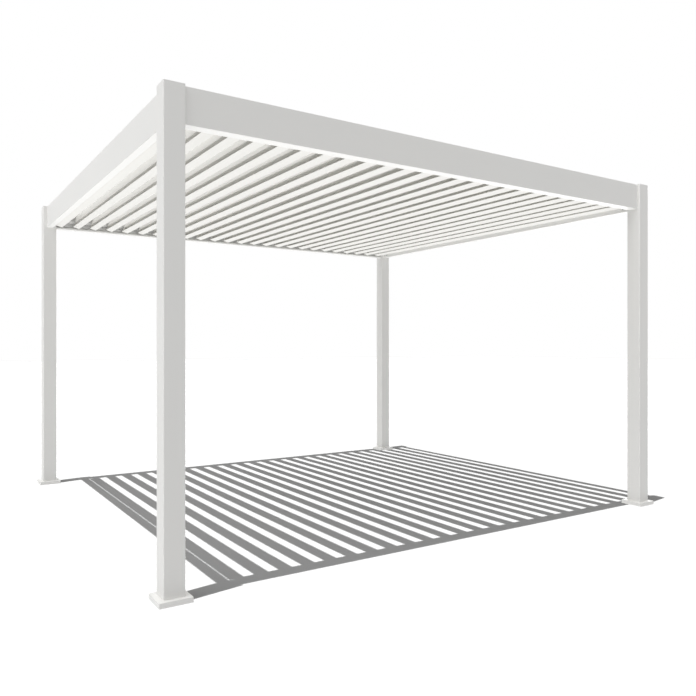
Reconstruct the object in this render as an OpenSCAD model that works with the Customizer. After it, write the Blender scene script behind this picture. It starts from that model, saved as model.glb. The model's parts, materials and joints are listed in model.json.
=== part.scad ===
// Free-standing louvered pergola: four posts, a beam frame with built-in
// gutters, and a roof of tilting louvres that one drive bar turns together.
// X runs along the front, Y from front to back, and Z is up.
// The origin is the centre of the footprint, at ground level.

/* [Overall] */
// Width over the outer faces of the posts
pergola_w = 3900; // [3300:20:4500]
// Depth over the outer faces of the posts
pergola_d = 3560; // [2600:20:4400]
// Height from the ground to the top of the post caps
pergola_h = 2530; // [2100:10:3000]

/* [Posts] */
// Side of the square post
post_size = 110; // [96:1:130]
// Wall thickness of the post
post_wall = 3; // [2:0.5:5]
// Radius of the outer corners of the post
post_corner_r = 5; // [2:0.5:10]
// Thickness of the post cap
cap_t = 4; // [2:0.5:8]
// Depth of the plug under the cap, inside the post
cap_plug_h = 25; // [10:1:50]
// Wall thickness of the plug
cap_plug_wall = 3; // [2:0.5:5]

/* [Feet] */
// Side of the square foot cover
cover_size = 170; // [150:1:200]
// Height of the foot cover
cover_h = 26; // [20:1:40]
// Wall thickness of the foot cover
cover_wall = 3; // [2:0.5:5]
// Side of the anchor plate inside the cover
anchor_size = 160; // [140:1:190]
// Thickness of the anchor plate
anchor_t = 8; // [5:1:12]
// Distance between anchor holes, centre to centre
anchor_spacing = 134; // [120:1:150]
// Diameter of the anchor holes
anchor_hole_d = 11; // [8:0.5:14]

/* [Beams] */
// Height of all four beams
beam_h = 190; // [160:5:260]
// Wall thickness of the beams
beam_wall = 3; // [2:0.5:5]
// Radius of the outer corners of the beams
beam_corner_r = 2; // [1:0.5:5]
// Width of the left and right beams
side_beam_w = 48; // [40:1:60]
// Width of the front and back beams, gutter included
gutter_beam_w = 72; // [66:1:90]
// Depth of the closed chamber of the front and back beams
chamber_w = 24; // [18:1:30]
// Height of the gutter's inner lip above the beam's bottom
gutter_lip_h = 14; // [8:0.5:16]

/* [Louvres] */
// Number of louvres
louvre_count = 25; // [22:1:25]
// Tilt of the louvres at rest, from flat; they close at 4 degrees
rest_tilt = 75; // [4:1:90]
// Thickness of the louvre's flat body
louvre_body_h = 36; // [34:0.5:38]
// Radius of the body's lower right corner
louvre_corner_r = 5; // [2:0.5:8]
// Thickness of the lap that reaches over the next louvre's channel
louvre_skin = 2; // [1.5:0.5:2.5]
// Depth of the hook under the edge of the lap
hook_h = 8; // [4:1:10]
// Clear width of the rain channel along the louvre's left edge
channel_mouth = 34; // [30:1:38]
// Depth of the channel's underside below the louvre's top
channel_h = 54; // [50:1:56]
// Thickness of the channel's walls and floor
channel_wall = 3; // [2:0.5:3.5]
// Rise of the channel's outer wall above the louvre's top
channel_rim = 3; // [1:0.5:3]
// Radius of the channel's lower corners
channel_r = 6; // [2:0.5:8]
// Radius of the rounded edges at the channel's mouth
channel_edge_r = 1.2; // [0.5:0.1:1.2]
// Thickness of the plate that closes each end of the channel
end_plate_t = 3; // [2:0.5:5]
// Distance of the rain spout from the louvre's left edge
spout_u = 23; // [23:0.5:24]
// Width of the rain spout
spout_w = 12; // [9:0.5:12]
// Height of the rain spout
spout_h = 8; // [6:0.5:9]
// Wall thickness of the rain spout
spout_wall = 2; // [1.5:0.5:3]
// Length of the rain spout past the lip of the beam's gutter
spout_past = 10; // [6:1:14]

/* [Pivots and drive] */
// Distance of the pivot from the louvre's left edge
pivot_u = 56; // [54:1:60]
// Depth of the pivot below the louvre's top
pivot_v = 27; // [26:0.5:28]
// Diameter of the pivot pins
pivot_d = 10; // [8:0.5:12]
// Height of the pivots above the bottom of the beams
pivot_rise = 72; // [72:0.5:76]
// Length of the pivot pins past the pivot rail
pin_stub = 3; // [2:0.5:6]
// Distance of the pivot rail behind the gutter's lip
rail_inset = 4; // [2:0.5:8]
// Thickness of the upright of the pivot rail
rail_plate_t = 4; // [3:0.5:6]
// Thickness of the rail's shelf and back flange
rail_t = 3; // [2:0.5:5]
// Drop of the rail's shelf below the pivots
rail_drop = 10; // [8:0.5:10]
// Rise of the rail's upright above the pivots
rail_rise = 12; // [10:1:16]
// Height of the rail's back flange
rail_flange_h = 28; // [20:1:40]
// Throw of the drive pins, from pivot to drive pin
drive_throw = 30; // [29:0.5:32]
// Angle of the throw, from the louvre's width
drive_angle = 35; // [33:0.5:37]
// Diameter of the drive pins
drive_d = 8; // [6:1:8]
// Height of the drive bar
bar_h = 12; // [12:1:14]
// Thickness of the drive bar
bar_t = 4; // [3:0.5:5]
// Length of the drive bar past its outer holes
bar_end = 14; // [12:1:15]

/* [Clearances] */
// Joint between two fixed pieces
seat_gap = 0.3; // [0.1:0.1:0.6]
// Running clearance round a pin, on the radius
pin_gap = 0.3; // [0.2:0.05:0.5]
// Clearance between a louvre's hook and the next channel, and above that channel
louvre_gap = 5; // [5:0.5:6]
// Clearance between a louvre's body and the next channel when flat
body_gap = 10; // [10:0.5:14]
// Clearance between the swing of the outer louvres and the side beams
side_gap = 5; // [5:0.5:12]
// Clearance between the louvre ends and the posts
end_gap = 6; // [6:0.5:12]
// Clearance between the louvre ends and the drive bar
bar_gap = 6; // [6:0.5:10]

/* [Hidden] */
louvre_names = [for (i = [1:louvre_count]) str("louvre_", i < 10 ? "0" : "", i)];

// Colours of the powder coat and of the bare metal
coat = "#e9e9e7";
metal = "#b9bbbd";
// Fineness of round pieces, and of the rounded corners of profiles
$fn = 48;
corner_steps = 4;

// Places that the sizes give
post_x = (pergola_w - post_size) / 2;
post_y = (pergola_d - post_size) / 2;
post_top = pergola_h - cap_t;
beam_z = post_top - beam_h;
side_beam_out = post_x + side_beam_w / 2;
gutter_beam_out = post_y + gutter_beam_w / 2;
clear_w = 2 * (post_x - side_beam_w / 2);
clear_d = 2 * (post_y - gutter_beam_w / 2);
bay_w = 2 * (post_x - post_size / 2 - seat_gap);
bay_d = 2 * (post_y - post_size / 2 - seat_gap);
louvre_lap = channel_wall + louvre_gap + louvre_skin;
left_swing = norm([pivot_u, pivot_v + channel_rim]);
louvre_pitch = (clear_w - 2 * side_gap - left_swing + pivot_u - louvre_lap) / louvre_count;
louvre_w = louvre_pitch + louvre_lap;
louvre_l = 2 * (post_y - post_size / 2 - end_gap);
pivot_z = beam_z + pivot_rise;
spout_end = clear_d / 2 + beam_wall + spout_past;
bar_start = louvre_l / 2 + bar_gap;
bar_finish = bar_start + bar_t;
rail_start = clear_d / 2 + rail_inset;
pin_end = rail_start + rail_plate_t + pin_stub;

// Points of a polygon given as [x, y, radius], with each corner rounded
function corner_arc(a, b, c, r) =
    let (ab = (a - b) / norm(a - b), cb = (c - b) / norm(c - b),
         half = acos(max(-1, min(1, ab * cb))) / 2,
         reach = r / tan(half),
         centre = b + (ab + cb) / norm(ab + cb) * r / sin(half),
         start = b + ab * reach - centre,
         finish = b + cb * reach - centre)
    [for (k = [0:corner_steps])
        let (mix = k / corner_steps, way = start * (1 - mix) + finish * mix)
        centre + way / norm(way) * r];

function rounded(points) =
    let (n = len(points))
    [for (i = [0:n - 1])
        let (a = points[(i + n - 1) % n], b = points[i], c = points[(i + 1) % n])
        each (b[2] > 0
            ? corner_arc([a[0], a[1]], [b[0], b[1]], [c[0], c[1]], b[2])
            : [[b[0], b[1]]])];

function box_points(w, h, r) = [[0, 0, r], [w, 0, r], [w, h, r], [0, h, r]];

// A square tube or plug on the Z axis
module square_tube(size, wall, h, corner_r) {
    inner = size - 2 * wall;
    linear_extrude(h) difference() {
        translate([-size / 2, -size / 2]) polygon(rounded(box_points(size, size, corner_r)));
        translate([-inner / 2, -inner / 2])
            polygon(rounded(box_points(inner, inner, max(corner_r - wall, 0.5))));
    }
}

// One copy of its children at each post
module at_posts() {
    for (sx = [-1, 1], sy = [-1, 1]) translate([sx * post_x, sy * post_y, 0]) children();
}

module post(sx, sy) {
    color(coat) translate([sx * post_x, sy * post_y, anchor_t])
        square_tube(post_size, post_wall, post_top - anchor_t, post_corner_r);
}

module post_caps() {
    plug_size = post_size - 2 * post_wall - 2 * seat_gap;
    color(coat) at_posts() {
        translate([-post_size / 2, -post_size / 2, post_top])
            linear_extrude(cap_t) polygon(rounded(box_points(post_size, post_size, post_corner_r)));
        translate([0, 0, post_top - cap_plug_h])
            square_tube(plug_size, cap_plug_wall, cap_plug_h, max(post_corner_r - post_wall, 0.5));
    }
}

// Square trim that hides the anchor plate and its bolts
module foot_covers() {
    inner = cover_size - 2 * cover_wall;
    hole = post_size + 2 * seat_gap;
    color(coat) at_posts() difference() {
        translate([-cover_size / 2, -cover_size / 2])
            linear_extrude(cover_h) polygon(rounded(box_points(cover_size, cover_size, cover_wall)));
        translate([-inner / 2, -inner / 2, -1]) cube([inner, inner, cover_h - cover_wall + 1]);
        translate([-hole / 2, -hole / 2, 0])
            linear_extrude(cover_h + 1) polygon(rounded(box_points(hole, hole, post_corner_r)));
    }
}

module anchor_plates() {
    color(metal) at_posts() difference() {
        translate([-anchor_size / 2, -anchor_size / 2, 0]) cube([anchor_size, anchor_size, anchor_t]);
        for (sx = [-1, 1], sy = [-1, 1])
            translate([sx * anchor_spacing / 2, sy * anchor_spacing / 2, -1])
                cylinder(d = anchor_hole_d, h = anchor_t + 2);
    }
}

// Section of the front and back beams: closed outer chamber, open gutter
// towards the louvres, top flange over the louvre ends
module gutter_beam_section() {
    difference() {
        polygon(rounded([
            [0, 0, beam_corner_r],
            [gutter_beam_w, 0, beam_corner_r],
            [gutter_beam_w, gutter_lip_h, 0],
            [gutter_beam_w - beam_wall, gutter_lip_h, 0],
            [gutter_beam_w - beam_wall, beam_wall, 0],
            [chamber_w, beam_wall, 0],
            [chamber_w, beam_h - beam_wall, 0],
            [gutter_beam_w, beam_h - beam_wall, 0],
            [gutter_beam_w, beam_h, beam_corner_r],
            [0, beam_h, beam_corner_r]]));
        translate([beam_wall, beam_wall])
            square([chamber_w - 2 * beam_wall, beam_h - 2 * beam_wall]);
    }
}

// Extrudes a section drawn from the outer face inwards along the front beam
module along_front(length) {
    translate([-length / 2, -gutter_beam_out, 0]) rotate([90, 0, 90]) linear_extrude(length) children();
}

module gutter_beam() {
    color(coat) translate([0, 0, beam_z]) along_front(bay_w) gutter_beam_section();
}

module side_beam() {
    color(coat) translate([-side_beam_out, bay_d / 2, beam_z]) rotate([90, 0, 0])
        linear_extrude(bay_d) difference() {
            polygon(rounded(box_points(side_beam_w, beam_h, beam_corner_r)));
            translate([beam_wall, beam_wall])
                square([side_beam_w - 2 * beam_wall, beam_h - 2 * beam_wall]);
        }
}

// Rail that carries the pivot pins: flange on the beam's chamber, shelf over
// the gutter, and an upright with one hole for each louvre
module pivot_rail() {
    reach = gutter_beam_out - rail_start;
    shelf_z = pivot_z - rail_drop;
    color(metal) difference() {
        along_front(bay_w) polygon([
            [chamber_w, shelf_z - rail_flange_h],
            [chamber_w + rail_t, shelf_z - rail_flange_h],
            [chamber_w + rail_t, shelf_z - rail_t],
            [reach, shelf_z - rail_t],
            [reach, pivot_z + rail_rise],
            [reach - rail_plate_t, pivot_z + rail_rise],
            [reach - rail_plate_t, shelf_z],
            [chamber_w, shelf_z]]);
        for (i = [1:louvre_count])
            translate([louvre_x(i), 1 - rail_start, pivot_z]) rotate([90, 0, 0])
                cylinder(r = pivot_d / 2 + pin_gap, h = rail_plate_t + 2);
    }
}

// Places of the louvres, and of their drive pins at rest
function louvre_x(i) = -clear_w / 2 + side_gap + left_swing + (i - 1) * louvre_pitch;
drive_x = drive_throw * cos(rest_tilt + drive_angle);
drive_z = pivot_z + drive_throw * sin(rest_tilt + drive_angle);

// Section of a louvre laid flat, with its top at 0: rain channel at the left,
// flat body, lap with its hook at the right
module louvre_section() {
    body_start = channel_wall + channel_mouth;
    channel_end = body_start + channel_wall;
    body_end = louvre_pitch - body_gap;
    polygon(rounded([
        [0, -channel_h, channel_r],
        [channel_end, -channel_h, channel_r],
        [channel_end, -louvre_body_h, 0],
        [body_end, -louvre_body_h, louvre_corner_r],
        [body_end, -louvre_skin, 0],
        [louvre_w - louvre_skin, -louvre_skin, 0],
        [louvre_w - louvre_skin, -hook_h, 0],
        [louvre_w, -hook_h, 0],
        [louvre_w, 0, louvre_skin],
        [body_start, 0, channel_edge_r],
        [body_start, channel_wall - channel_h, channel_wall],
        [channel_wall, channel_wall - channel_h, channel_wall],
        [channel_wall, channel_rim, channel_edge_r],
        [0, channel_rim, channel_edge_r]]));
}

// Plate across the channel, open where the spout leads the rain out
module end_plate_section() {
    difference() {
        translate([channel_wall / 2, channel_wall / 2 - channel_h])
            square([channel_mouth + channel_wall, channel_h - channel_wall / 2]);
        translate([spout_u + spout_wall, channel_wall - channel_h])
            square([spout_w - 2 * spout_wall, spout_h - channel_wall]);
    }
}

module spout_section() {
    difference() {
        translate([spout_u, -channel_h]) square([spout_w, spout_h]);
        translate([spout_u + spout_wall, channel_wall - channel_h])
            square([spout_w - 2 * spout_wall, spout_h]);
    }
}

// Extrudes a louvre's section towards the front, between two distances from
// the middle, with the pivot at the origin
module louvre_part(start, finish) {
    translate([-pivot_u, -start, pivot_v]) rotate([90, 0, 0]) linear_extrude(finish - start) children();
}

// A pin along Y, from inside the louvre's front end out to far
module front_pin(d, far) {
    start = louvre_l / 2 - end_plate_t;
    translate([0, -start, 0]) rotate([90, 0, 0]) cylinder(d = d, h = far - start);
}

module louvre(i) {
    color(coat) translate([louvre_x(i), 0, pivot_z]) rotate([0, -rest_tilt, 0]) {
        louvre_part(-louvre_l / 2, louvre_l / 2) louvre_section();
        for (side = [0, 1]) mirror([0, side, 0]) {
            louvre_part(louvre_l / 2 - end_plate_t, louvre_l / 2) end_plate_section();
            louvre_part(louvre_l / 2 - end_plate_t, spout_end) spout_section();
            front_pin(pivot_d, pin_end);
        }
        rotate([0, -drive_angle, 0]) translate([drive_throw, 0, 0]) front_pin(drive_d, bar_finish);
    }
}

// Flat bar with one hole for each louvre's drive pin
module drive_bar() {
    span = louvre_x(louvre_count) - louvre_x(1) + 2 * bar_end;
    color(metal) translate([drive_x, -bar_start, drive_z]) difference() {
        translate([louvre_x(1) - bar_end, -bar_t, -bar_h / 2]) cube([span, bar_t, bar_h]);
        for (i = [1:louvre_count])
            translate([louvre_x(i), 1, 0]) rotate([90, 0, 0])
                cylinder(r = drive_d / 2 + pin_gap, h = bar_t + 2);
    }
}

post(-1, -1);  // post_front_left
post(1, -1);  // post_front_right
post(-1, 1);  // post_back_left
post(1, 1);  // post_back_right
post_caps();
foot_covers();
anchor_plates();
gutter_beam();  // beam_front
mirror([0, 1, 0]) gutter_beam();  // beam_back
side_beam();  // beam_left
mirror([1, 0, 0]) side_beam();  // beam_right
pivot_rail();  // pivot_rail_front
mirror([0, 1, 0]) pivot_rail();  // pivot_rail_back
drive_bar();
for (i = [1:louvre_count])
    louvre(i);
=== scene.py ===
"""Looks of the louvered pergola: finishes, fixings, camera, floor and studio light.

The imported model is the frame. Its posts, beams, rails, drive bar and louvres stay
as they are and get their finishes here. Small fixings and trim are added beside
them, each on the body that it turns with. Lengths are in metres, X runs along the
front, Y from front to back, and Z is up from the ground.
"""

import json
import logging
import math
from dataclasses import dataclass
from enum import Enum
from typing import Any

import bmesh
import bpy
from mathutils import Euler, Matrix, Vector

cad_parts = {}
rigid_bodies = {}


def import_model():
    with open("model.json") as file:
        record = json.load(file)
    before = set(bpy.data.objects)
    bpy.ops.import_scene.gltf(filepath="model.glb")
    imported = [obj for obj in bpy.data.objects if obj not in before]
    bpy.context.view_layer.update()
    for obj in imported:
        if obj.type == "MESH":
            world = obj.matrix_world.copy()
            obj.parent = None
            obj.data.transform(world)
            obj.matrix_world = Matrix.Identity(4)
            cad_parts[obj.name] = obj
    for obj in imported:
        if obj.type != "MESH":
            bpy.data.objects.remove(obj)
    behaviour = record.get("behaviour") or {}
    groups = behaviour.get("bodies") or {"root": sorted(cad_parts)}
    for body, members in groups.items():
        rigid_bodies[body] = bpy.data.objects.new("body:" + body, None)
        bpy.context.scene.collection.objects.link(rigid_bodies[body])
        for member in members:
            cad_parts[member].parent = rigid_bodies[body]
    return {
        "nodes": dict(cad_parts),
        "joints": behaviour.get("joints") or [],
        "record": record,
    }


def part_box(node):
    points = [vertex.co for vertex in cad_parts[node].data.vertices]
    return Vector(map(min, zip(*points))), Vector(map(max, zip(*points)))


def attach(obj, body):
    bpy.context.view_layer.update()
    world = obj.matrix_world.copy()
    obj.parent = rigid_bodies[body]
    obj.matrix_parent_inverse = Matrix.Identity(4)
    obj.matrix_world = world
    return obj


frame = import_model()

LOG = logging.getLogger("pergola")
MM = 0.001
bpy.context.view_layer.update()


# Node trees

def linear(hex_colour: str) -> tuple[float, float, float, float]:
    """Turns an sRGB hex colour into the linear RGBA that a shader socket takes.

    Args:
        hex_colour: Colour written as "#rrggbb".

    Returns:
        Linear red, green, blue and an alpha of 1.
    """
    channels = [int(hex_colour[i:i + 2], 16) / 255 for i in (1, 3, 5)]
    return (*[c / 12.92 if c <= 0.04045 else ((c + 0.055) / 1.055) ** 2.4 for c in channels], 1.0)


def add(tree: bpy.types.NodeTree, kind: str, inputs: dict[Any, Any] | None = None,
        **settings: Any) -> bpy.types.Node:
    """Adds one node to a tree, with its settings, values and links.

    Args:
        tree: Tree that gets the node.
        kind: Type of the node, such as "ShaderNodeMath".
        inputs: Socket name or number to a value, an output socket to link, or a
            list of output sockets for a socket that takes several links.
        **settings: Attributes of the node, such as operation="MULTIPLY".

    Returns:
        The new node.
    """
    node = tree.nodes.new(kind)
    for key, value in settings.items():
        setattr(node, key, value)
    for key, value in (inputs or {}).items():
        for one in value if isinstance(value, list) else [value]:
            if isinstance(one, bpy.types.NodeSocket):
                tree.links.new(one, node.inputs[key])
            else:
                node.inputs[key].default_value = one
    return node


# Finishes

class Slot(Enum):
    """Material slots of the record, passed with some added pieces, which take their finish as given."""

    FRAME = "frame_coat"
    LOUVRE = "louvre_coat"
    STEEL = "galvanised_steel"


@dataclass(frozen=True)
class Finish:
    """What every finish of the pergola has.

    Attributes:
        name: Name of the material.
        colour: Main sRGB colour.
        roughness: Mean roughness of the surface.
    """

    name: str
    colour: str
    roughness: float

    def _start(self) -> tuple[bpy.types.Material, bpy.types.NodeTree, bpy.types.Node, bpy.types.NodeSocket]:
        """Starts the material with a Principled shader and Object coordinates.

        Returns:
            The material, its tree, the shader node and the coordinates socket.
        """
        material = bpy.data.materials.new(self.name)
        material.use_nodes = True
        tree = material.node_tree
        shader = tree.nodes["Principled BSDF"]
        shader.inputs["Base Color"].default_value = linear(self.colour)
        shader.inputs["Roughness"].default_value = self.roughness
        return material, tree, shader, add(tree, "ShaderNodeTexCoord").outputs["Object"]

    def _vary(self, tree: bpy.types.NodeTree, shader: bpy.types.Node, factor: bpy.types.NodeSocket,
              other_colour: str, spread: float) -> None:
        """Varies the colour and the roughness of the shader by one factor.

        Args:
            tree: Tree of the material.
            shader: Its Principled shader.
            factor: Socket that runs from 0 to 1.
            other_colour: Colour where the factor is 1.
            spread: How far the roughness goes to both sides of its mean.
        """
        tone = add(tree, "ShaderNodeMix", {"Factor": factor, "A": linear(self.colour),
                                           "B": linear(other_colour)}, data_type="RGBA")
        tree.links.new(tone.outputs["Result"], shader.inputs["Base Color"])
        sheen = add(tree, "ShaderNodeMapRange", {"Value": factor, "To Min": self.roughness - spread,
                                                 "To Max": self.roughness + spread})
        tree.links.new(sheen.outputs["Result"], shader.inputs["Roughness"])

    def _roughen(self, tree: bpy.types.NodeTree, shader: bpy.types.Node, height: bpy.types.NodeSocket,
                 depth_mm: float) -> None:
        """Adds a bump to the shader.

        Args:
            tree: Tree of the material.
            shader: Its Principled shader.
            height: Socket with the height, from 0 to 1.
            depth_mm: Depth of the relief.
        """
        bump = add(tree, "ShaderNodeBump", {"Height": height, "Strength": 1.0, "Distance": depth_mm * MM})
        tree.links.new(bump.outputs["Normal"], shader.inputs["Normal"])


@dataclass(frozen=True)
class PowderCoat(Finish):
    """Satin polyester powder coat on aluminium.

    The oven leaves a faint orange peel of about 2 mm, and the film is a touch
    thicker in some places, which gives a slow drift of tone and sheen.

    Attributes:
        drift_colour: Tone of the thinner places.
        drift_mm: Size of the slow drift.
        drift_sheen: How far the roughness drifts.
        peel_mm: Size of the orange peel.
        peel_depth_mm: Depth of the orange peel.
    """

    drift_colour: str = "#f0f0ee"
    drift_mm: float = 420.0
    drift_sheen: float = 0.05
    peel_mm: float = 2.2
    peel_depth_mm: float = 0.012

    def build(self) -> bpy.types.Material:
        """Makes the material.

        Returns:
            The finished material.
        """
        material, tree, shader, coords = self._start()
        drift = add(tree, "ShaderNodeTexNoise",
                    {"Vector": coords, "Scale": 1 / (self.drift_mm * MM), "Detail": 3.0})
        self._vary(tree, shader, drift.outputs["Fac"], self.drift_colour, self.drift_sheen)
        peel = add(tree, "ShaderNodeTexNoise",
                   {"Vector": coords, "Scale": 1 / (self.peel_mm * MM), "Detail": 1.0})
        self._roughen(tree, shader, peel.outputs["Fac"], self.peel_depth_mm)
        return material


@dataclass(frozen=True)
class MillAluminium(Finish):
    """Extruded aluminium as it leaves the mill.

    The die leaves fine straight lines along X, and the bare metal has a soft
    grey sheen.

    Attributes:
        line_colour: Tone of the darker die lines.
        line_mm: Spacing of the die lines across the profile.
        line_length_mm: Length over which one die line stays alike.
        line_sheen: How far the roughness differs between the lines.
        line_depth_mm: Depth of the lines.
    """

    line_colour: str = "#d2d2d1"
    line_mm: float = 3.0
    line_length_mm: float = 2500.0
    line_sheen: float = 0.09
    line_depth_mm: float = 0.02

    def build(self) -> bpy.types.Material:
        """Makes the material.

        Returns:
            The finished material.
        """
        material, tree, shader, coords = self._start()
        shader.inputs["Metallic"].default_value = 1.0
        across = 1 / (self.line_mm * MM)
        stretched = add(tree, "ShaderNodeMapping",
                        {"Vector": coords, "Scale": (1 / (self.line_length_mm * MM), across, across)})
        lines = add(tree, "ShaderNodeTexNoise", {"Vector": stretched.outputs["Vector"], "Scale": 1.0,
                                                 "Detail": 3.0})
        self._vary(tree, shader, lines.outputs["Fac"], self.line_colour, self.line_sheen)
        self._roughen(tree, shader, lines.outputs["Fac"], self.line_depth_mm)
        return material


@dataclass(frozen=True)
class GalvanisedSteel(Finish):
    """Hot-dip galvanised steel plate.

    The zinc freezes in flat crystals, about 12 mm across, each with its own grey
    and its own sheen.

    Attributes:
        crystal_colour: Tone of the darker crystals.
        crystal_mm: Size of one crystal.
        crystal_sheen: How far the roughness differs between the crystals.
    """

    crystal_colour: str = "#8f9294"
    crystal_mm: float = 12.0
    crystal_sheen: float = 0.1

    def build(self) -> bpy.types.Material:
        """Makes the material.

        Returns:
            The finished material.
        """
        material, tree, shader, coords = self._start()
        shader.inputs["Metallic"].default_value = 1.0
        crystals = add(tree, "ShaderNodeTexVoronoi",
                       {"Vector": coords, "Scale": 1 / (self.crystal_mm * MM)})
        grey = add(tree, "ShaderNodeSeparateColor", {"Color": crystals.outputs["Color"]})
        self._vary(tree, shader, grey.outputs["Red"], self.crystal_colour, self.crystal_sheen)
        return material


@dataclass(frozen=True)
class ZincPlate(Finish):
    """Bright zinc on small turned and pressed steel parts.

    The thin plating has a fine grain of under a millimetre and a cool grey shine.

    Attributes:
        grain_colour: Tone of the darker grain.
        grain_mm: Size of the grain.
        grain_sheen: How far the roughness differs in the grain.
    """

    grain_colour: str = "#9a9ea3"
    grain_mm: float = 0.9
    grain_sheen: float = 0.08

    def build(self) -> bpy.types.Material:
        """Makes the material.

        Returns:
            The finished material.
        """
        material, tree, shader, coords = self._start()
        shader.inputs["Metallic"].default_value = 1.0
        grain = add(tree, "ShaderNodeTexNoise", {"Vector": coords, "Scale": 1 / (self.grain_mm * MM),
                                                 "Detail": 2.0})
        self._vary(tree, shader, grain.outputs["Fac"], self.grain_colour, self.grain_sheen)
        return material


@dataclass(frozen=True)
class MouldedNylon(Finish):
    """Glass-filled nylon, injection moulded.

    The mould's spark-eroded wall leaves an even matt grain of half a millimetre.

    Attributes:
        grain_colour: Tone of the high points of the grain.
        grain_mm: Size of the grain.
        grain_sheen: How far the roughness differs in the grain.
        grain_depth_mm: Depth of the grain.
    """

    grain_colour: str = "#3a3b3d"
    grain_mm: float = 0.5
    grain_sheen: float = 0.06
    grain_depth_mm: float = 0.02

    def build(self) -> bpy.types.Material:
        """Makes the material.

        Returns:
            The finished material.
        """
        material, tree, shader, coords = self._start()
        grain = add(tree, "ShaderNodeTexNoise", {"Vector": coords, "Scale": 1 / (self.grain_mm * MM),
                                                 "Detail": 1.0})
        self._vary(tree, shader, grain.outputs["Fac"], self.grain_colour, self.grain_sheen)
        self._roughen(tree, shader, grain.outputs["Fac"], self.grain_depth_mm)
        return material


FRAME_COAT = PowderCoat("powder_coated_aluminium_frame", "#f4f3f0", 0.42)
# The louvres' coat is the frame's white powder coat made a shade darker: painted shade for the dimmer light
# on the roof.
LOUVRE_COAT_WITH_PAINTED_SHADE = PowderCoat("powder_coated_aluminium_louvres_painted_shade", "#eeede9", 0.45, drift_colour="#e9e8e4",
                         drift_mm=650.0)
ALUMINIUM = MillAluminium("mill_finish_aluminium", "#e6e6e5", 0.42)
STEEL = GalvanisedSteel("galvanised_steel_plate", "#a6a9ab", 0.45)
ZINC = ZincPlate("zinc_plated_fixings", "#bcc0c4", 0.34)
NYLON = MouldedNylon("glass_filled_nylon", "#2c2d2f", 0.55)


def dress(obj: bpy.types.Object, material: bpy.types.Material) -> None:
    """Gives an object one material on all its faces.

    Args:
        obj: Object to dress.
        material: Material that it gets.
    """
    obj.data.materials.clear()
    obj.data.materials.append(material)


# Fixings

class Kind(Enum):
    """Forms of the small fixings."""

    HEX = 0
    DOME = 1
    RING = 2


@dataclass(frozen=True)
class Fixing:
    """One fixing: its form, the middle of its seat and the way that it points.

    Attributes:
        kind: Form of the fixing.
        seat: Middle of the face that lies on its seat.
        way: Direction from the seat outwards.
    """

    kind: Kind
    seat: Vector
    way: Vector


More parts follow.
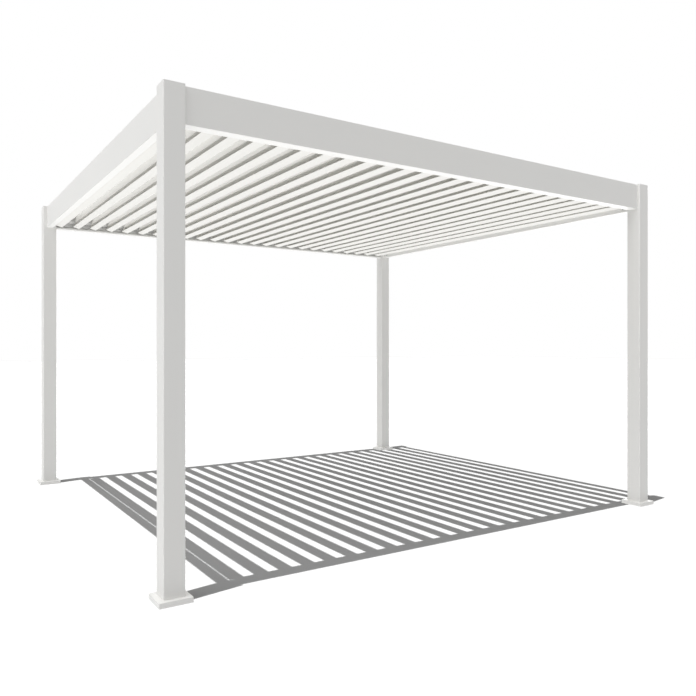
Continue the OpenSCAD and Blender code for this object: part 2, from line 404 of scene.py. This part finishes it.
class FixingTree:
    """Geometry Nodes tree that sets hex heads, rivet domes and rings on points.

    The points carry the attributes "kind" and "way". All sizes are named inputs.

    Attributes:
        sizes: Sizes in millimetres that the inputs start with.
        round_sides: Sides of a round washer or ring.
        hex_flat: Share of a hex head's height below its chamfer.
        hex_chamfer: Share of its height that the chamfer takes.
        hex_top: Width of its top as a share of its width.
        dome_rings: Rings of points along a dome's height.
        dome_reach: Share of the full ellipse's height that a dome reaches.
    """

    sizes = {"Washer Diameter": 20.0, "Washer Thickness": 2.0, "Hex Width": 18.9, "Hex Height": 8.0,
             "Stud Diameter": 10.0, "Stud Height": 3.0, "Dome Diameter": 8.0, "Dome Height": 1.8,
             "Ring Outer": 17.0, "Ring Inner": 9.6, "Ring Thickness": 1.2}
    round_sides = 24
    hex_flat = 0.85
    hex_chamfer = 0.15
    hex_top = 0.88
    dome_rings = 5
    dome_reach = 0.93

    def __init__(self) -> None:
        """Builds the tree."""
        self.tree = bpy.data.node_groups.new("fixings", "GeometryNodeTree")
        face = self.tree.interface
        face.new_socket("Points", in_out="INPUT", socket_type="NodeSocketGeometry")
        face.new_socket("Material", in_out="INPUT", socket_type="NodeSocketMaterial")
        for name, value in self.sizes.items():
            socket = face.new_socket(name, in_out="INPUT", socket_type="NodeSocketFloat")
            socket.default_value = value * MM
        face.new_socket("Fixings", in_out="OUTPUT", socket_type="NodeSocketGeometry")
        self.given = add(self.tree, "NodeGroupInput").outputs
        branches = [self._branch(Kind.HEX, self._hex_head()), self._branch(Kind.DOME, self._dome()),
                    self._branch(Kind.RING, self._ring())]
        whole = add(self.tree, "GeometryNodeJoinGeometry", {"Geometry": branches})
        real = add(self.tree, "GeometryNodeRealizeInstances", {"Geometry": whole.outputs[0]})
        dressed = add(self.tree, "GeometryNodeSetMaterial",
                      {"Geometry": real.outputs[0], "Material": self.given["Material"]})
        add(self.tree, "NodeGroupOutput", {0: dressed.outputs[0]})

    def _sum(self, operation: str, a: Any, b: Any = 0.0) -> bpy.types.NodeSocket:
        """One sum on two values or sockets."""
        return add(self.tree, "ShaderNodeMath", {0: a, 1: b}, operation=operation).outputs[0]

    def _lifted(self, mesh: bpy.types.NodeSocket, height: Any) -> bpy.types.NodeSocket:
        """Moves a mesh up by a height."""
        up = add(self.tree, "ShaderNodeCombineXYZ", {"Z": height}).outputs[0]
        return add(self.tree, "GeometryNodeTransform", {"Geometry": mesh, "Translation": up}).outputs[0]

    def _prism(self, sides: int, width: Any, height: Any, start: Any) -> bpy.types.NodeSocket:
        """A prism of a width and a height on a start height.

        Args:
            sides: Number of its sides.
            width: Diameter of the circle round it.
            height: Its height.
            start: Height of its lower face.

        Returns:
            Socket with its mesh.
        """
        body = add(self.tree, "GeometryNodeMeshCylinder",
                   {"Vertices": sides, "Radius": self._sum("MULTIPLY", width, 0.5), "Depth": height})
        middle = self._sum("ADD", start, self._sum("MULTIPLY", height, 0.5))
        return self._lifted(body.outputs["Mesh"], middle)

    def _hex_head(self) -> bpy.types.NodeSocket:
        """A washer, a hex with a chamfered top, and the end of the stud."""
        given = self.given
        seat = given["Washer Thickness"]
        flat = self._sum("MULTIPLY", given["Hex Height"], self.hex_flat)
        bevel = self._sum("MULTIPLY", given["Hex Height"], self.hex_chamfer)
        half = self._sum("MULTIPLY", given["Hex Width"], 0.5)
        narrow = self._sum("MULTIPLY", half, self.hex_top)
        washer = self._prism(self.round_sides, given["Washer Diameter"], seat, 0.0)
        body = self._prism(6, given["Hex Width"], flat, seat)
        chamfer = add(self.tree, "GeometryNodeMeshCone",
                      {"Vertices": 6, "Radius Bottom": half, "Radius Top": narrow, "Depth": bevel})
        top = self._lifted(chamfer.outputs["Mesh"], self._sum("ADD", seat, flat))
        tip = self._sum("ADD", seat, given["Hex Height"])
        stud = self._prism(self.round_sides // 2, given["Stud Diameter"], given["Stud Height"], tip)
        whole = add(self.tree, "GeometryNodeJoinGeometry", {"Geometry": [washer, body, top, stud]})
        return whole.outputs[0]

    def _dome(self) -> bpy.types.NodeSocket:
        """The dome of a blind rivet: its radius follows a quarter of an ellipse."""
        tip = add(self.tree, "ShaderNodeCombineXYZ",
                  {"Z": self._sum("MULTIPLY", self.given["Dome Height"], self.dome_reach)}).outputs[0]
        line = add(self.tree, "GeometryNodeCurvePrimitiveLine", {"End": tip}).outputs[0]
        line = add(self.tree, "GeometryNodeResampleCurve",
                   {"Curve": line, "Count": self.dome_rings}).outputs[0]
        share = self._sum("MULTIPLY", add(self.tree, "GeometryNodeSplineParameter").outputs["Factor"],
                          self.dome_reach)
        shape = self._sum("SQRT", self._sum("SUBTRACT", 1.0, self._sum("MULTIPLY", share, share)))
        line = add(self.tree, "GeometryNodeSetCurveRadius", {"Curve": line, "Radius": shape}).outputs[0]
        rim = add(self.tree, "GeometryNodeCurvePrimitiveCircle",
                  {"Resolution": self.round_sides // 2,
                   "Radius": self._sum("MULTIPLY", self.given["Dome Diameter"], 0.5)}).outputs["Curve"]
        return add(self.tree, "GeometryNodeCurveToMesh",
                   {"Curve": line, "Profile Curve": rim, "Fill Caps": True}).outputs[0]

    def _ring(self) -> bpy.types.NodeSocket:
        """A flat ring: a rectangle swept round a circle."""
        given = self.given
        middle = self._sum("MULTIPLY", self._sum("ADD", given["Ring Outer"], given["Ring Inner"]), 0.25)
        width = self._sum("MULTIPLY", self._sum("SUBTRACT", given["Ring Outer"], given["Ring Inner"]), 0.5)
        path = add(self.tree, "GeometryNodeCurvePrimitiveCircle",
                   {"Resolution": self.round_sides, "Radius": middle}).outputs["Curve"]
        edge = add(self.tree, "GeometryNodeCurvePrimitiveQuadrilateral",
                   {"Width": width, "Height": given["Ring Thickness"]}).outputs[0]
        ring = add(self.tree, "GeometryNodeCurveToMesh", {"Curve": path, "Profile Curve": edge}).outputs[0]
        return self._lifted(ring, self._sum("MULTIPLY", given["Ring Thickness"], 0.5))

    def _branch(self, kind: Kind, shape: bpy.types.NodeSocket) -> bpy.types.NodeSocket:
        """Sets one form on the points of its kind.

        Args:
            kind: Form that the points ask for.
            shape: Mesh of that form.

        Returns:
            Socket with the instances.
        """
        asked = add(self.tree, "GeometryNodeInputNamedAttribute", {"Name": "kind"}, data_type="INT")
        chosen = add(self.tree, "FunctionNodeCompare", {2: asked.outputs["Attribute"], 3: kind.value},
                     data_type="INT", operation="EQUAL")
        way = add(self.tree, "GeometryNodeInputNamedAttribute", {"Name": "way"}, data_type="FLOAT_VECTOR")
        turn = add(self.tree, "FunctionNodeAlignRotationToVector", {"Vector": way.outputs["Attribute"]},
                   axis="Z")
        return add(self.tree, "GeometryNodeInstanceOnPoints",
                   {"Points": self.given["Points"], "Selection": chosen.outputs[0], "Instance": shape,
                    "Rotation": turn.outputs[0]}).outputs[0]

    def make(self, name: str, body: str, fixings: list[Fixing], material: bpy.types.Material,
             slot: Slot | None = None, **sizes: float) -> bpy.types.Object:
        """Makes all fixings of one body as one plain mesh.

        Args:
            name: Name of the piece.
            body: Body that it rides on.
            fixings: The fixings.
            material: Finish of the fixings.
            slot: Slot of the record for the finish; not used.
            **sizes: Sizes in millimetres that differ from the tree's own, such as
                hex_width=9.2.

        Returns:
            The finished piece.
        """
        points = bpy.data.meshes.new(name + "_points")
        points.from_pydata([fixing.seat for fixing in fixings], [], [])
        kinds = points.attributes.new("kind", "INT", "POINT")
        kinds.data.foreach_set("value", [fixing.kind.value for fixing in fixings])
        ways = points.attributes.new("way", "FLOAT_VECTOR", "POINT")
        ways.data.foreach_set("vector", [part for fixing in fixings for part in fixing.way])
        source = bpy.data.objects.new(name + "_source", points)
        bpy.context.collection.objects.link(source)
        modifier = source.modifiers.new("fixings", "NODES")
        modifier.node_group = self.tree
        asked = {key.replace("_", " ").title(): value * MM for key, value in sizes.items()}
        for item in self.tree.interface.items_tree:
            if item.in_out == "INPUT" and item.name in asked:
                modifier[item.identifier] = asked.pop(item.name)
            elif item.in_out == "INPUT" and item.name == "Material":
                modifier[item.identifier] = material
        if asked:
            raise ValueError(f"{name}: the tree has no input for {sorted(asked)}")
        graph = bpy.context.evaluated_depsgraph_get()
        mesh = bpy.data.meshes.new_from_object(source.evaluated_get(graph), depsgraph=graph)
        bpy.data.objects.remove(source)
        return settle(name, mesh, body, material)


def settle(name: str, mesh: bpy.types.Mesh, body: str, material: bpy.types.Material) -> bpy.types.Object:
    """Makes a finished piece of a mesh and sets it on its body.

    Args:
        name: Name of the piece.
        mesh: Mesh with its place in it.
        body: Body that it rides on.
        material: Its finish.

    Returns:
        The piece.
    """
    for layer in ("kind", "way"):
        if layer in mesh.attributes:
            mesh.attributes.remove(mesh.attributes[layer])
    mesh.name = name
    piece = bpy.data.objects.new(name, mesh)
    bpy.context.collection.objects.link(piece)
    dress(piece, material)
    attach(piece, body)
    LOG.info("%s: %d faces on %s", name, len(mesh.polygons), body)
    return piece


def extruded(outline: list[tuple[float, float]], start: Vector, across: Vector, up: Vector,
             along: Vector) -> bpy.types.Mesh:
    """Extrudes a flat outline to a closed mesh with faces that point outwards.

    Args:
        outline: Points of the outline, in metres across and up.
        start: Where the outline's origin lies.
        across: Direction of the outline's first axis.
        up: Direction of its second axis.
        along: Way and length of the extrusion.

    Returns:
        The mesh.
    """
    shape = bmesh.new()
    base = [shape.verts.new(start + across * x + up * y) for x, y in outline]
    face = shape.faces.new(base)
    side = bmesh.ops.extrude_face_region(shape, geom=[face])
    moved = [v for v in side["geom"] if isinstance(v, bmesh.types.BMVert)]
    bmesh.ops.translate(shape, verts=moved, vec=along)
    bmesh.ops.recalc_face_normals(shape, faces=shape.faces)
    mesh = bpy.data.meshes.new("extruded")
    shape.to_mesh(mesh)
    shape.free()
    return mesh


# Sub-assemblies

@dataclass
class BeamFrame:
    """Posts, caps, foot covers, anchor plates, beams and pivot rails.

    Attributes:
        coated: Nodes with the white powder coat.
        bare: Nodes of mill-finish aluminium.
        galvanised: Nodes of galvanised steel.
        wall: Wall of the beams, and of the rail's back flange.
        flashing_reach: Reach of the flashing past the gutter's lip.
        flashing_t: Thickness of the flashing.
        flashing_seam: Width of the seam that its rivets hold.
        flashing_edge: Broken edge along its free side.
        screw_spacing: Most that two screws of a row lie apart.
        screw_inset: Distance of a row's end screws from its ends.
        rail_screw_height: Height of the rail screws above the rails' lower edge.
        bracket_heights: Heights of the bracket screws above the beams' bottom.
    """

    coated: tuple[str, ...] = ("post_front_left", "post_front_right", "post_back_left", "post_back_right",
                               "post_caps", "foot_covers", "beam_front", "beam_back", "beam_left",
                               "beam_right")
    bare: tuple[str, ...] = ("pivot_rail_front", "pivot_rail_back")
    galvanised: tuple[str, ...] = ("anchor_plates",)
    wall: float = 3 * MM
    flashing_reach: float = 34 * MM
    flashing_t: float = 1.5 * MM
    flashing_seam: float = 18 * MM
    flashing_edge: float = 0.3 * MM
    screw_spacing: float = 300 * MM
    screw_inset: float = 60 * MM
    rail_screw_height: float = 10 * MM
    bracket_heights: tuple[float, ...] = (25 * MM, 160 * MM)

    def dress(self, coat: bpy.types.Material, metal: bpy.types.Material, steel: bpy.types.Material) -> None:
        """Gives each fixed node its finish.

        Args:
            coat: White powder coat.
            metal: Mill-finish aluminium.
            steel: Galvanised steel.
        """
        for names, material in ((self.coated, coat), (self.bare, metal), (self.galvanised, steel)):
            for name in names:
                dress(frame["nodes"][name], material)
                LOG.info("%s: %s", name, material.name)

    def row(self, low: float, high: float) -> list[float]:
        """Even places of a row of screws between two ends.

        Args:
            low: Lower end of the row.
            high: Upper end of the row.

        Returns:
            Place of each screw.
        """
        first, last = low + self.screw_inset, high - self.screw_inset
        count = math.ceil((last - first) / self.screw_spacing)
        return [first + (last - first) * i / count for i in range(count + 1)]

    def anchor_nuts(self) -> list[Fixing]:
        """A washer and a nut at each hole of each anchor plate."""
        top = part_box("anchor_plates")[1][2]
        nuts = []
        for mount in frame["record"]["mounts"]:
            if mount["kind"] == "bolt_pattern":
                x, y, _ = mount["pos_m"]
                dx, dy = (mount["dims"][f"spacing_{axis}_mm"] * MM / 2 for axis in "xy")
                nuts += [Fixing(Kind.HEX, Vector((x + sx * dx, y + sy * dy, top)), Vector((0, 0, 1)))
                         for sx in (-1, 1) for sy in (-1, 1)]
        return nuts

    def rail_screws(self) -> list[Fixing]:
        """Screws through the back flanges of the pivot rails, into the beams."""
        screws = []
        for side in (-1, 1):
            low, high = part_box("pivot_rail_front" if side < 0 else "pivot_rail_back")
            face = (low[1] + self.wall) if side < 0 else (high[1] - self.wall)
            height = low[2] + self.rail_screw_height
            screws += [Fixing(Kind.HEX, Vector((x, face, height)), Vector((0, -side, 0)))
                       for x in self.row(low[0], high[0])]
        return screws

    def bracket_screws(self) -> list[Fixing]:
        """Screws at the beams' ends, into the brackets on the posts."""
        screws = []
        for side, name in ((-1, "beam_left"), (1, "beam_right")):
            low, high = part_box(name)
            face = high[0] if side < 0 else low[0]
            screws += [Fixing(Kind.HEX, Vector((face, y, low[2] + rise)), Vector((-side, 0, 0)))
                       for y in (low[1] + self.screw_inset, high[1] - self.screw_inset)
                       for rise in self.bracket_heights]
        return screws

    def bush_flanges(self) -> list[Fixing]:
        """The flange of the nylon bush that each pivot pin turns in."""
        rings = []
        front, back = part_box("pivot_rail_front")[1][1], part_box("pivot_rail_back")[0][1]
        for joint in frame["joints"]:
            if joint["parent"] == "frame":
                x, _, z = joint["pos_m"]
                rings += [Fixing(Kind.RING, Vector((x, front, z)), Vector((0, 1, 0))),
                          Fixing(Kind.RING, Vector((x, back, z)), Vector((0, -1, 0)))]
        return rings

    def flashings(self, coat: bpy.types.Material, fixings: FixingTree, metal: bpy.types.Material) -> None:
        """Makes the thin sheet under each top flange that covers the louvre ends.

        Args:
            coat: White powder coat.
            fixings: Tree that makes its rivets.
            metal: Finish of the rivets.
        """
        rivets = []
        for side, name in ((-1, "beam_front"), (1, "beam_back")):
            low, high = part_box(name)
            lip = high[1] if side < 0 else low[1]
            length = high[0] - low[0]
            top = high[2] - self.wall
            seam, reach, edge = self.flashing_seam, self.flashing_reach, self.flashing_edge
            outline = [(-seam, -self.flashing_t), (reach, -self.flashing_t), (reach, -edge),
                       (reach - edge, 0), (-seam, 0)]
            mesh = extruded(outline, Vector((low[0], lip, top)), Vector((0, -side, 0)), Vector((0, 0, 1)),
                            Vector((length, 0, 0)))
            settle("flashing_" + name.split("_")[1], mesh, "frame", coat)
            rivets += [Fixing(Kind.DOME, Vector((x, lip + side * seam / 2, top - self.flashing_t)),
                              Vector((0, 0, -1))) for x in self.row(low[0], high[0])]
        fixings.make("flashing_rivets", "frame", rivets, metal, Slot.STEEL)

    def fit(self, fixings: FixingTree, coat: bpy.types.Material, zinc: bpy.types.Material,
            nylon: bpy.types.Material) -> None:
        """Adds the fixings and the trim of the fixed frame.

        Args:
            fixings: Tree that makes the fixings.
            coat: White powder coat.
            zinc: Bright zinc.
            nylon: Moulded nylon.
        """
        small = {"washer_diameter": 12.0, "washer_thickness": 1.0, "hex_width": 9.2, "hex_height": 3.5,
                 "stud_diameter": 4.0, "stud_height": 0.2}
        fixings.make("anchor_nuts", "frame", self.anchor_nuts(), zinc, Slot.STEEL)
        fixings.make("rail_screws", "frame", self.rail_screws(), zinc, Slot.STEEL, **small)
        fixings.make("bracket_screws", "frame", self.bracket_screws(), zinc, Slot.STEEL, **small)
        fixings.make("bush_flanges", "frame", self.bush_flanges(), nylon,
                     ring_outer=19.0, ring_inner=10.7, ring_thickness=1.5)
        self.flashings(coat, fixings, zinc)


@dataclass
class LouvreRoof:
    """The louvres and the drive bar that joins them.

    Attributes:
        count: Number of louvres.
        tilt_deg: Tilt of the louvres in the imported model.
        pivot_u: Distance of the pivot from a louvre's left edge.
        pivot_v: Depth of the pivot below a louvre's top.
        end_gap: Clearance between the louvre ends and the posts.
        bar_gap: Clearance between the louvre ends and the drive bar.
        cap_t: Thickness of the cap on the end of a louvre's hollow body.
        cap_left: Left edge of that cap.
        cap_depth: Depth of its lower edge.
        body_gap: Clearance between a louvre's body and the next channel.
        cap_inset: Rim of the body that shows round the cap.
        cap_bevel: Bevel of its lower right corner.
        cap_slope: Width and height of the slope at its upper right corner.
        rivets: Places of the cap's rivets, from the louvre's left edge and its top.
        rail_t: Thickness of the rail that the pivot pins pass through.
        clip_gap: Clearance between that rail and a clip.
        head_gap: Clearance between the drive bar and the collar or head beside it.
        collar_outer_mm: Outer diameter of the collar on a drive pin.
        collar_inner_mm: Its inner diameter.
    """

    count: int = 25
    tilt_deg: float = 75.0
    pivot_u: float = 56 * MM
    pivot_v: float = 27 * MM
    end_gap: float = 6 * MM
    bar_gap: float = 6 * MM
    cap_t: float = 1.2 * MM
    cap_left: float = 41 * MM
    cap_depth: float = 35 * MM
    body_gap: float = 10 * MM
    cap_inset: float = 1 * MM
    cap_bevel: float = 4 * MM
    cap_slope: tuple[float, float] = (2 * MM, 3 * MM)
    rivets: tuple[tuple[float, float], ...] = ((47 * MM, -8 * MM), (104 * MM, -27 * MM),
                                               (129 * MM, -9 * MM))
    rail_t: float = 4 * MM
    clip_gap: float = 0.4 * MM
    head_gap: float = 0.2 * MM
    collar_outer_mm: float = 12.0
    collar_inner_mm: float = 7.6

    def names(self) -> list[str]:
        """Names of the louvre nodes, which are also their bodies."""
        return [f"louvre_{i:02d}" for i in range(1, self.count + 1)]

    def dress(self, coat: bpy.types.Material, metal: bpy.types.Material) -> None:
        """Gives the louvres and the drive bar their finishes.

        Args:
            coat: White powder coat of the louvres, a shade darker than the frame's as painted shade.
            metal: Mill-finish aluminium.
        """
        for name in self.names():
            dress(frame["nodes"][name], coat)
        dress(frame["nodes"]["drive_bar"], metal)
        LOG.info("%d louvres: %s; drive_bar: %s", self.count, coat.name, metal.name)

    def fit(self, fixings: FixingTree, coat: bpy.types.Material, zinc: bpy.types.Material) -> None:
        """Adds the end caps, rivets, clips and collars of each louvre.

        Args:
            fixings: Tree that makes the fixings.
            coat: White powder coat of the louvres, a shade darker than the frame's as painted shade.
            zinc: Bright zinc.
        """
        tilt = math.radians(self.tilt_deg)
        across = Vector((math.cos(tilt), 0, math.sin(tilt)))
        up = Vector((-math.sin(tilt), 0, math.cos(tilt)))
        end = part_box("post_front_left")[1][1] + self.end_gap
        rail_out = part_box("pivot_rail_front")[1][1] - self.rail_t
        bar_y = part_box("drive_bar")[0][1]
        joints = {joint["name"]: Vector(joint["pos_m"]) for joint in frame["joints"]}
        pitch = (joints["louvre_02_tilt"] - joints["louvre_01_tilt"]).x
        drive = joints["drive_bar_swing"] - joints["louvre_01_tilt"]
        drive.y = 0
        right = pitch - self.body_gap - self.cap_inset
        cap = [(self.cap_left, -self.cap_depth), (right - self.cap_bevel, -self.cap_depth),
               (right, self.cap_bevel - self.cap_depth), (right, -self.cap_slope[1]),
               (right - self.cap_slope[0], -self.cap_inset), (self.cap_left, -self.cap_inset)]
        to_bar = Vector((0, -1, 0))
        collar_t = (self.bar_gap - self.cap_t - 2 * self.head_gap) / MM
        for name in self.names():
            pivot = joints[name + "_tilt"]
            corner = pivot - across * self.pivot_u + up * self.pivot_v
            caps = bmesh.new()
            parts: list[Fixing] = []
            for side in (-1, 1):
                out = Vector((0, side, 0))
                face = Vector((0, side * abs(end), 0))
                sheet = extruded(cap, corner + face, across, up, out * self.cap_t)
                caps.from_mesh(sheet)
                bpy.data.meshes.remove(sheet)
                parts += [Fixing(Kind.DOME, corner + face + across * u + up * v + out * self.cap_t, out)
                          for u, v in self.rivets]
                clip = pivot + Vector((0, side * (abs(rail_out) + self.clip_gap), 0))
                parts.append(Fixing(Kind.RING, clip, out))
            mesh = bpy.data.meshes.new(name)
            caps.to_mesh(mesh)
            caps.free()
            settle(name + "_end_caps", mesh, name, coat)
            pin = pivot + drive
            parts.append(Fixing(Kind.DOME, pin + Vector((0, bar_y - self.head_gap, 0)), to_bar))
            fixings.make(name + "_fixings", name, parts, zinc, Slot.STEEL)
            collar = Fixing(Kind.RING, pin + Vector((0, end - self.cap_t, 0)), to_bar)
            fixings.make(name + "_collar", name, [collar], zinc, Slot.STEEL,
                         ring_outer=self.collar_outer_mm, ring_inner=self.collar_inner_mm,
                         ring_thickness=collar_t)


# Studio

@dataclass(frozen=True)
class SoftLight:
    """One wide soft light, brightest in its middle.

    Attributes:
        name: Where it hangs.
        way: Direction towards its middle.
        level: Brightness at its middle.
        focus: How fast it fades away from its middle.
    """

    name: str
    way: tuple[float, float, float]
    level: float
    focus: float


@dataclass
class Studio:
    """Camera, floor, soft lights and sun.

    Attributes:
        eye: Place of the camera.
        turn_deg: Heading of the camera, clockwise from +Y.
        lens_mm: Focal length of the camera.
        sensor_mm: Width of its sensor.
        far_end: Farthest that it sees.
        sun_way: Direction in which the sunlight travels.
        sun_strength: Strength of the sunlight, which only the floor gets.
        sun_spread_deg: Apparent size of the sun, which sets how soft shadows are.
        floor_colour: Colour of the pale floor.
        floor_half: Half the side of the floor.
        lights: Soft lights round the object.
        strips: Strip lights that only reflections show, along rounded edges and on metal.
    """

    eye: tuple[float, float, float] = (-2.9715, -4.974, 1.239)
    turn_deg: float = 33.04
    lens_mm: float = 34.89
    sensor_mm: float = 36.0
    far_end: float = 200.0
    sun_way: tuple[float, float, float] = (0.130, 0.0225, -1.0)
    sun_spread_deg: float = 0.3
    sun_strength: float = 9.3
    floor_colour: str = "#929292"
    floor_half: float = 60.0
    lights: tuple[SoftLight, ...] = (
        SoftLight("bright_ground", (0.0, 0.0, -1.0), 1.06, 1.0),
        SoftLight("ground_under_the_roof", (0.0, 0.0, -1.0), 1.16, 4.0),
        SoftLight("overhead", (0.0, 0.0, 1.0), 0.9, 1.0),
        SoftLight("left_high", (-0.77, -0.1, 0.64), 1.34, 8.0),
        SoftLight("left_overhead", (-0.6, 0.0, 0.8), 1.17, 8.0),
        SoftLight("front", (0.0, -1.0, 0.1), 0.17, 4.0),
        SoftLight("right_low", (1.0, 0.0, -0.6), 0.09, 4.0),
    )
    strips: tuple[SoftLight, ...] = (
        SoftLight("left_front_strip", (-0.84, -0.54, 0.0), 7.0, 16.0),
        SoftLight("right_strip", (0.95, 0.3, 0.0), 7.0, 20.0),
    )

    def place_camera(self) -> None:
        """Makes the camera at the photograph's viewpoint."""
        data = bpy.data.cameras.new("camera")
        data.lens = self.lens_mm
        data.sensor_width = self.sensor_mm
        data.clip_end = self.far_end
        camera = bpy.data.objects.new("camera", data)
        camera.location = self.eye
        camera.rotation_euler = Euler((math.radians(90), 0, math.radians(-self.turn_deg)))
        bpy.context.collection.objects.link(camera)
        bpy.context.scene.camera = camera

    def lay_floor(self) -> bpy.types.Object:
        """Makes the plain pale floor, which keeps the pergola's shadow.

        Returns:
            The floor.
        """
        half = self.floor_half
        mesh = bpy.data.meshes.new("floor")
        mesh.from_pydata([(-half, -half, 0), (half, -half, 0), (half, half, 0), (-half, half, 0)], [],
                         [(0, 1, 2, 3)])
        floor = bpy.data.objects.new("floor", mesh)
        bpy.context.collection.objects.link(floor)
        material = bpy.data.materials.new("pale_floor")
        material.use_nodes = True
        shader = material.node_tree.nodes["Principled BSDF"]
        shader.inputs["Base Color"].default_value = linear(self.floor_colour)
        shader.inputs["Roughness"].default_value = 1.0
        shader.inputs["Specular IOR Level"].default_value = 0.0
        dress(floor, material)
        floor.visible_diffuse = False
        floor.visible_glossy = False
        floor.visible_shadow = False
        return floor

    def hang_sun(self, floor: bpy.types.Object) -> None:
        """Makes the sun that draws the shadow's stripes on the floor.

        Args:
            floor: The floor, which alone gets its light.
        """
        data = bpy.data.lights.new("sun", "SUN")
        data.energy = self.sun_strength
        data.angle = math.radians(self.sun_spread_deg)
        sun = bpy.data.objects.new("sun", data)
        sun.rotation_euler = Vector(self.sun_way).to_track_quat("-Z", "Y").to_euler()
        bpy.context.collection.objects.link(sun)
        only_floor = bpy.data.collections.new("only_floor")
        only_floor.objects.link(floor)
        sun.light_linking.receiver_collection = only_floor

    def light_sky(self) -> None:
        """Makes the soft lights that surround the object, on a white background."""
        world = bpy.data.worlds.new("studio")
        bpy.context.scene.world = world
        world.use_nodes = True
        tree = world.node_tree
        tree.nodes.clear()
        look = add(tree, "ShaderNodeTexCoord").outputs["Generated"]

        def step(operation: str, a: Any, b: Any) -> bpy.types.NodeSocket:
            """One sum on two values or sockets."""
            return add(tree, "ShaderNodeMath", {0: a, 1: b}, operation=operation).outputs[0]

        def wash(lights: tuple[SoftLight, ...]) -> bpy.types.NodeSocket:
            """Brightness of some soft lights in the direction that is looked at."""
            level: Any = 0.0
            for light in lights:
                towards = add(tree, "ShaderNodeVectorMath", {0: look, 1: Vector(light.way).normalized()},
                              operation="DOT_PRODUCT").outputs["Value"]
                fade = step("POWER", step("MAXIMUM", towards, 0.0), light.focus)
                level = step("ADD", step("MULTIPLY", fade, light.level), level)
            return level

        path = add(tree, "ShaderNodeLightPath")
        glossy = path.outputs["Is Glossy Ray"]
        seen = step("MAXIMUM", path.outputs["Is Camera Ray"],
                    step("MAXIMUM", glossy, path.outputs["Is Transmission Ray"]))
        shine = step("ADD", step("MULTIPLY", wash(self.strips), glossy), 1.0)
        soft = add(tree, "ShaderNodeBackground", {"Color": (1, 1, 1, 1), "Strength": wash(self.lights)})
        white = add(tree, "ShaderNodeBackground", {"Color": (1, 1, 1, 1), "Strength": shine})
        mix = add(tree, "ShaderNodeMixShader", {0: seen, 1: soft.outputs[0], 2: white.outputs[0]})
        add(tree, "ShaderNodeOutputWorld", {"Surface": mix.outputs[0]})

    def build(self) -> None:
        """Makes the whole studio."""
        self.place_camera()
        self.hang_sun(self.lay_floor())
        self.light_sky()
        bpy.context.scene.view_settings.view_transform = "Standard"
        LOG.info("studio: camera, floor, sun and sky")


def main() -> None:
    """Builds the studio, then dresses and fits each sub-assembly in order."""
    logging.basicConfig(level=logging.INFO, format="%(name)s: %(message)s")
    Studio().build()
    coat, louvre_coat = FRAME_COAT.build(), LOUVRE_COAT_WITH_PAINTED_SHADE.build()
    metal, steel, zinc, nylon = ALUMINIUM.build(), STEEL.build(), ZINC.build(), NYLON.build()
    fixings = FixingTree()
    beams, louvres = BeamFrame(), LouvreRoof()
    beams.dress(coat, metal, steel)
    beams.fit(fixings, coat, zinc, nylon)
    louvres.dress(louvre_coat, metal)
    louvres.fit(fixings, louvre_coat, zinc)


if __name__ == "__main__":
    main()
